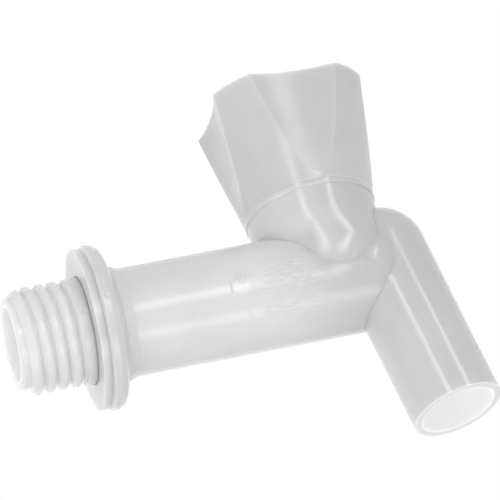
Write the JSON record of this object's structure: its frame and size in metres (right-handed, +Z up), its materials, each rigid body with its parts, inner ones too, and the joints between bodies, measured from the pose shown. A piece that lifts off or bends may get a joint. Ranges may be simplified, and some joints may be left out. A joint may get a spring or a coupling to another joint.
{
  "type": "barrel tap",
  "caption": "Moulded plastic barrel tap: threaded inlet with flange and washer, winged screw-down handle on an upright neck, and a leaning spout.",
  "frame": {"origin": "centre of the flange face that the sealing washer lies on, on the axis of the inlet bore", "axes": "+X along the body from the barrel wall out to the spout, +Z up the neck to the handle, +Y completes the frame"},
  "size_m": [0.1099, 0.0396, 0.0904],
  "materials": {
    "body": "natural polyethylene, slightly translucent, satin",
    "sealing_washer": "soft white elastomer, matt",
    "bonnet": "natural polyethylene, satin",
    "seal": "black rubber",
    "spindle": "hard white plastic, satin",
    "handle": "natural polyethylene, slightly translucent, satin"
  },
  "bodies": {
    "tap": {"body": "body", "sealing_washer": "sealing_washer", "bonnet": "bonnet", "neck_seal": "seal", "spindle_seal": "seal"},
    "valve": {"valve_disc": "spindle", "valve_washer": "seal", "washer_button": "spindle"},
    "handle": {"handle": "handle", "spindle": "spindle"}
  },
  "joints": [
    {"name": "valve_lift", "type": "slide", "parent": "tap", "child": "valve", "axis": [0, 0, 1], "range_m": [0, 0.004]},
    {"name": "handle_turn", "type": "hinge", "parent": "valve", "child": "handle", "pos_m": [0.058, 0, 0.0206], "axis": [0, 0, 1], "range_deg": [0, 540]}
  ],
  "couplings": [
    {"joint": "valve_lift", "follows": "handle_turn", "m_per_rad": 0.00042441}
  ]
}
